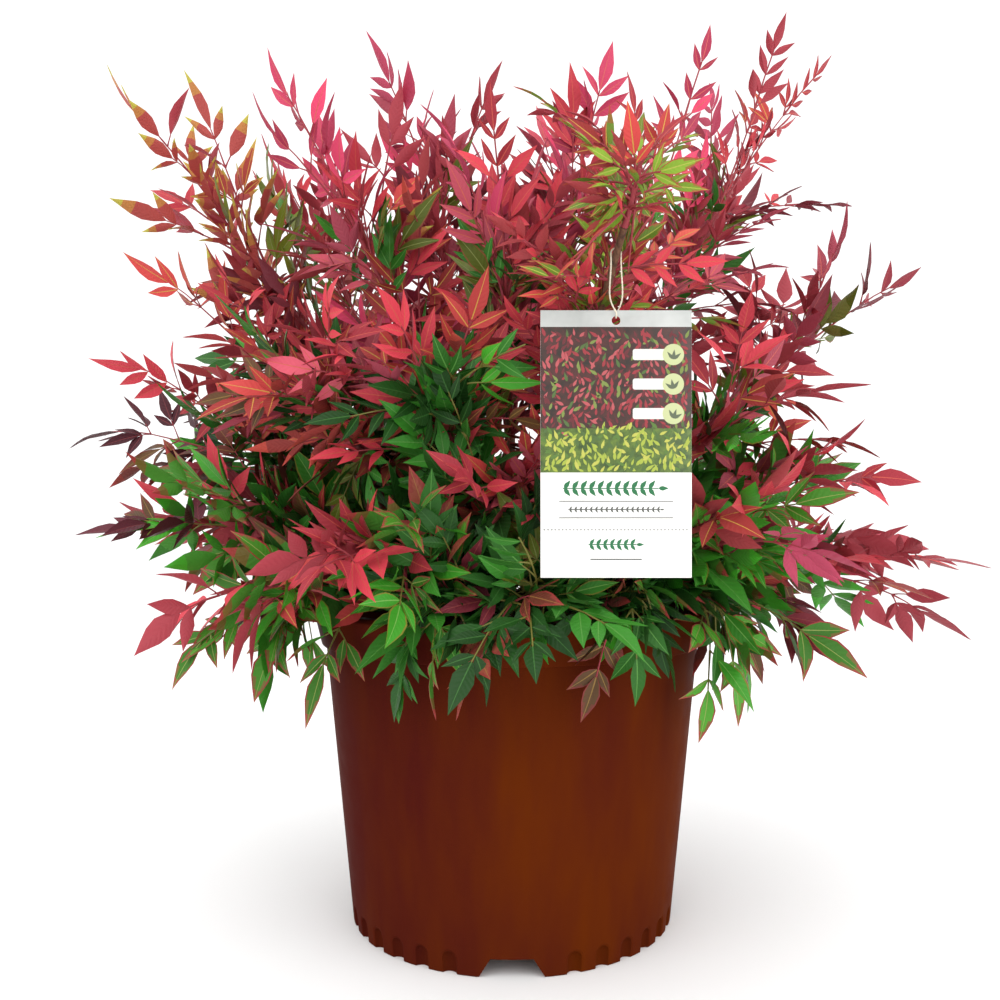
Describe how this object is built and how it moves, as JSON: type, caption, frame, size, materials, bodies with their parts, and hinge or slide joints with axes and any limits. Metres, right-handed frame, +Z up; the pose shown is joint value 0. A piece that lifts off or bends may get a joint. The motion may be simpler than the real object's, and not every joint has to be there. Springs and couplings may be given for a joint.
{
  "type": "potted heavenly bamboo shrub",
  "caption": "Heavenly bamboo shrub with red and green leaf sprays on upright canes, growing in a filled, tapered round nursery pot, with a plain hang tag on a loop.",
  "frame": {"origin": "centre of the pot's flat underside", "axes": "+Z up along the pot's axis; the front, where the tag hangs, looks along -Y, with +X to the viewer's right"},
  "size_m": [0.6609, 0.5389, 0.616],
  "materials": {
    "pot": "satin, moulded",
    "potting_mix": "rough, loose bark",
    "stool": "rough bark",
    "cane_bark": "rough bark",
    "tag": "satin, printed",
    "tag_loop": "satin",
    "leaves_top": "satin leaves, crimson",
    "leaves_upper": "satin leaves, crimson",
    "leaves_middle": "satin leaves, scarlet to orange-red",
    "leaves_low": "satin leaves, red and green",
    "leaves_skirt": "satin leaves, green"
  },
  "bodies": {
    "root": {"cane_middle_1": "cane_bark", "cane_middle_2": "cane_bark", "cane_middle_3": "cane_bark", "cane_middle_4": "cane_bark", "cane_middle_5": "cane_bark", "cane_middle_6": "cane_bark", "cane_middle_7": "cane_bark", "cane_middle_8": "cane_bark", "cane_top_1": "cane_bark", "cane_top_2": "cane_bark", "cane_upper_1": "cane_bark", "cane_upper_2": "cane_bark", "cane_upper_3": "cane_bark", "cane_upper_4": "cane_bark", "cane_upper_5": "cane_bark", "cane_upper_6": "cane_bark", "cane_upper_7": "cane_bark", "cane_upper_8": "cane_bark", "foliage_low_1": "leaves_low", "foliage_low_10": "leaves_low", "foliage_low_11": "leaves_low", "foliage_low_2": "leaves_low", "foliage_low_3": "leaves_low", "foliage_low_4": "leaves_low", "foliage_low_5": "leaves_low", "foliage_low_6": "leaves_low", "foliage_low_7": "leaves_low", "foliage_low_8": "leaves_low", "foliage_low_9": "leaves_low", "foliage_middle_1": "leaves_middle", "foliage_middle_2": "leaves_middle", "foliage_middle_3": "leaves_middle", "foliage_middle_4": "leaves_middle", "foliage_middle_5": "leaves_middle", "foliage_middle_6": "leaves_middle", "foliage_middle_7": "leaves_middle", "foliage_middle_8": "leaves_middle", "foliage_skirt_1": "leaves_skirt", "foliage_skirt_2": "leaves_skirt", "foliage_skirt_3": "leaves_skirt", "foliage_skirt_4": "leaves_skirt", "foliage_skirt_5": "leaves_skirt", "foliage_skirt_6": "leaves_skirt", "foliage_skirt_7": "leaves_skirt", "foliage_skirt_8": "leaves_skirt", "foliage_top_1": "leaves_top", "foliage_top_2": "leaves_top", "foliage_upper_1": "leaves_upper", "foliage_upper_2": "leaves_upper", "foliage_upper_3": "leaves_upper", "foliage_upper_4": "leaves_upper", "foliage_upper_5": "leaves_upper", "foliage_upper_6": "leaves_upper", "foliage_upper_7": "leaves_upper", "foliage_upper_8": "leaves_upper", "pot": "pot", "potting_mix": "potting_mix", "stool": "stool", "tag": "tag", "tag_loop": "tag_loop"}
  },
  "joints": []
}
